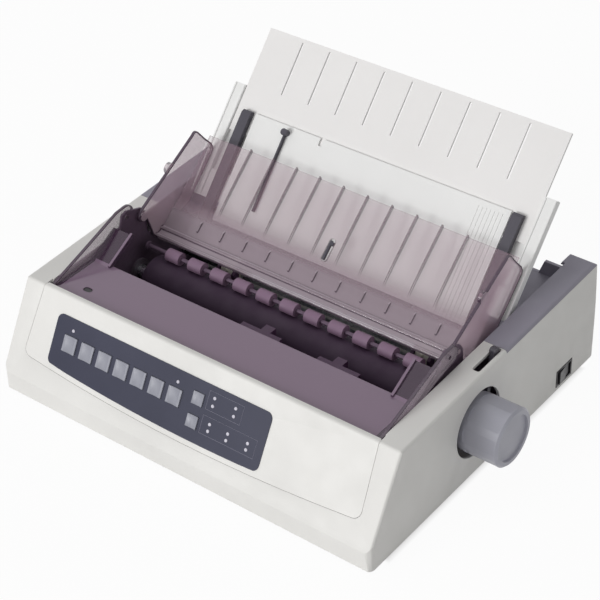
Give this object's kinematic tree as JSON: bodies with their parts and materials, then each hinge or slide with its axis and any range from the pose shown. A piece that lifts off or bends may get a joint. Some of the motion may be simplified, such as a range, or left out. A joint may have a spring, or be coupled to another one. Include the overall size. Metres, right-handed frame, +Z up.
{
  "type": "dot matrix printer",
  "caption": "Dot matrix printer with hinged smoke cover, ribbed paper separator, sheet support, platen with side knob, tractors and moving print carriage.",
  "frame": {"origin": "on the table under the middle of the whole printer, knob included", "axes": "+X to the knob side, +Y from the front to the back, +Z up"},
  "size_m": [0.432, 0.3468, 0.219],
  "materials": {
    "shell": "fine moulded texture, off-white",
    "panel": "satin printed film, dark slate blue",
    "lens": "clear tinted lens",
    "board": "solder mask",
    "key": "satin grey",
    "slate": "fine moulded texture, blue-grey",
    "rubber": "ground rubber",
    "steel": "zinc plated",
    "bush": "natural acetal",
    "black": "satin black",
    "motor": "black enamel",
    "smoke": "clear smoke plastic",
    "white": "smooth white",
    "knob": "satin blue-grey",
    "head": "die cast",
    "ink": "inked nylon"
  },
  "bodies": {
    "frame": {"outer_case": "shell", "front_panel": "shell", "panel_overlay": "panel", "indicator_lenses": "lens", "control_board": "board", "rear_cover": "slate", "base_pan": "shell", "feet": "rubber", "case_screws": "steel", "base_frame": "steel", "side_frames": "steel", "shaft_bushes": "bush", "guide_shafts": "steel", "guide_rail": "steel", "paper_chute": "black", "main_board": "board", "power_supply": "steel", "motors": "motor", "carriage_belt": "rubber", "power_inlet": "black", "interface_connector": "steel", "switch_frame": "black"},
    "cover": {"access_cover": "smoke"},
    "separator": {"paper_separator": "smoke"},
    "support": {"support_panel": "white", "support_arms": "black", "sheet_rest": "white"},
    "extension": {"support_extension": "shell"},
    "guide": {"sheet_guide": "black"},
    "platen": {"platen_roller": "rubber", "platen_shaft": "steel", "platen_gear": "white", "platen_knob": "knob"},
    "idler": {"idler_gear": "white"},
    "pinion": {"feed_pinion": "steel"},
    "drive_shaft": {"tractor_shaft": "steel"},
    "tractor_left": {"left_tractor": "black"},
    "tractor_right": {"right_tractor": "black"},
    "sprocket_left": {"left_sprocket": "white"},
    "sprocket_right": {"right_sprocket": "white"},
    "bail": {"paper_bail": "steel", "bail_rollers": "rubber"},
    "carriage": {"print_carriage": "black", "print_head": "head", "ribbon_cartridge": "black", "ribbon": "ink"},
    "ribbon_turn": {"ribbon_knob": "knob"},
    "pulley_left": {"drive_pulley": "steel"},
    "pulley_right": {"idler_pulley": "steel"},
    "lever": {"paper_lever": "black"},
    "rocker": {"power_rocker": "black"},
    "key_1_cap": {"key_1": "key"},
    "key_2_cap": {"key_2": "key"},
    "key_3_cap": {"key_3": "key"},
    "key_4_cap": {"key_4": "key"},
    "key_5_cap": {"key_5": "key"},
    "key_6_cap": {"key_6": "key"},
    "key_7_cap": {"key_7": "key"},
    "mode_key_cap": {"mode_key": "key"},
    "font_key_cap": {"font_key": "key"}
  },
  "joints": [
    {"name": "cover_open", "type": "hinge", "parent": "frame", "child": "cover", "pos_m": [-0.017, -0.0295, 0.116], "axis": [-1, 0, 0], "range_deg": [0, 80]},
    {"name": "separator_open", "type": "hinge", "parent": "frame", "child": "separator", "pos_m": [-0.017, -0.0115, 0.109], "axis": [1, 0, 0], "range_deg": [0, 50]},
    {"name": "support_tilt", "type": "hinge", "parent": "frame", "child": "support", "pos_m": [-0.017, 0.04091, 0.06713], "axis": [-1, 0, 0], "range_deg": [0, 25]},
    {"name": "extension_slide", "type": "slide", "parent": "support", "child": "extension", "axis": [0, 0.6665, 0.7455], "range_m": [-0.036, 0]},
    {"name": "guide_slide", "type": "slide", "parent": "support", "child": "guide", "axis": [1, 0, 0], "range_m": [-0.03, 0.08]},
    {"name": "platen_spin", "type": "hinge", "parent": "frame", "child": "platen", "pos_m": [-0.017, -0.02, 0.053], "axis": [1, 0, 0], "continuous": true},
    {"name": "idler_spin", "type": "hinge", "parent": "frame", "child": "idler", "pos_m": [-0.193, 0.01447, 0.04692], "axis": [1, 0, 0], "continuous": true},
    {"name": "pinion_spin", "type": "hinge", "parent": "frame", "child": "pinion", "pos_m": [-0.193, 0.01811, 0.02624], "axis": [1, 0, 0], "continuous": true},
    {"name": "tractor_spin", "type": "hinge", "parent": "frame", "child": "drive_shaft", "pos_m": [-0.017, 0.04106, 0.04223], "axis": [1, 0, 0], "continuous": true},
    {"name": "left_tractor_slide", "type": "slide", "parent": "frame", "child": "tractor_left", "axis": [1, 0, 0], "range_m": [-0.016, 0.06]},
    {"name": "right_tractor_slide", "type": "slide", "parent": "frame", "child": "tractor_right", "axis": [1, 0, 0], "range_m": [-0.06, 0.016]},
    {"name": "left_sprocket_spin", "type": "hinge", "parent": "tractor_left", "child": "sprocket_left", "pos_m": [-0.125, 0.04106, 0.04223], "axis": [1, 0, 0], "continuous": true},
    {"name": "right_sprocket_spin", "type": "hinge", "parent": "tractor_right", "child": "sprocket_right", "pos_m": [0.091, 0.04106, 0.04223], "axis": [1, 0, 0], "continuous": true},
    {"name": "bail_lift", "type": "hinge", "parent": "frame", "child": "bail", "pos_m": [-0.017, -0.002, 0.0685], "axis": [-1, 0, 0], "range_deg": [0, 24]},
    {"name": "carriage_slide", "type": "slide", "parent": "frame", "child": "carriage", "axis": [1, 0, 0], "range_m": [-0.14, 0.06]},
    {"name": "ribbon_turn", "type": "hinge", "parent": "carriage", "child": "ribbon_turn", "pos_m": [0.065, -0.0805, 0.08], "axis": [0, 0, 1], "continuous": true},
    {"name": "left_pulley_spin", "type": "hinge", "parent": "frame", "child": "pulley_left", "pos_m": [-0.167, -0.1005, 0.03], "axis": [0, 0, 1], "continuous": true},
    {"name": "right_pulley_spin", "type": "hinge", "parent": "frame", "child": "pulley_right", "pos_m": [0.133, -0.1005, 0.03], "axis": [0, 0, 1], "continuous": true},
    {"name": "lever_swing", "type": "hinge", "parent": "frame", "child": "lever", "pos_m": [0.1745, 0.001, 0.062], "axis": [1, 0, 0], "range_deg": [0, 28]},
    {"name": "rocker_tip", "type": "hinge", "parent": "frame", "child": "rocker", "pos_m": [0.178, 0.1185, 0.0145], "axis": [0, 0, -1], "range_deg": [0, 17]},
    {"name": "key_1_press", "type": "slide", "parent": "frame", "child": "key_1_cap", "axis": [0, 0.8755, -0.4832], "range_m": [0, 0.0009], "stiffness_N_per_m": 600, "springref_m": -0.0005},
    {"name": "key_2_press", "type": "slide", "parent": "frame", "child": "key_2_cap", "axis": [0, 0.8755, -0.4832], "range_m": [0, 0.0009], "stiffness_N_per_m": 600, "springref_m": -0.0005},
    {"name": "key_3_press", "type": "slide", "parent": "frame", "child": "key_3_cap", "axis": [0, 0.8755, -0.4832], "range_m": [0, 0.0009], "stiffness_N_per_m": 600, "springref_m": -0.0005},
    {"name": "key_4_press", "type": "slide", "parent": "frame", "child": "key_4_cap", "axis": [0, 0.8755, -0.4832], "range_m": [0, 0.0009], "stiffness_N_per_m": 600, "springref_m": -0.0005},
    {"name": "key_5_press", "type": "slide", "parent": "frame", "child": "key_5_cap", "axis": [0, 0.8755, -0.4832], "range_m": [0, 0.0009], "stiffness_N_per_m": 600, "springref_m": -0.0005},
    {"name": "key_6_press", "type": "slide", "parent": "frame", "child": "key_6_cap", "axis": [0, 0.8755, -0.4832], "range_m": [0, 0.0009], "stiffness_N_per_m": 600, "springref_m": -0.0005},
    {"name": "key_7_press", "type": "slide", "parent": "frame", "child": "key_7_cap", "axis": [0, 0.8755, -0.4832], "range_m": [0, 0.0009], "stiffness_N_per_m": 600, "springref_m": -0.0005},
    {"name": "mode_key_press", "type": "slide", "parent": "frame", "child": "mode_key_cap", "axis": [0, 0.8755, -0.4832], "range_m": [0, 0.0009], "stiffness_N_per_m": 600, "springref_m": -0.0005},
    {"name": "font_key_press", "type": "slide", "parent": "frame", "child": "font_key_cap", "axis": [0, 0.8755, -0.4832], "range_m": [0, 0.0009], "stiffness_N_per_m": 600, "springref_m": -0.0005}
  ],
  "couplings": [
    {"joint": "idler_spin", "follows": "platen_spin", "ratio": -1.3333},
    {"joint": "pinion_spin", "follows": "platen_spin", "ratio": 3.3333},
    {"joint": "tractor_spin", "follows": "platen_spin", "ratio": 1.6667},
    {"joint": "left_sprocket_spin", "follows": "platen_spin", "ratio": 1.6667},
    {"joint": "right_sprocket_spin", "follows": "platen_spin", "ratio": 1.6667},
    {"joint": "left_pulley_spin", "follows": "carriage_slide", "rad_per_m": -116.28},
    {"joint": "right_pulley_spin", "follows": "carriage_slide", "rad_per_m": -116.28}
  ]
}
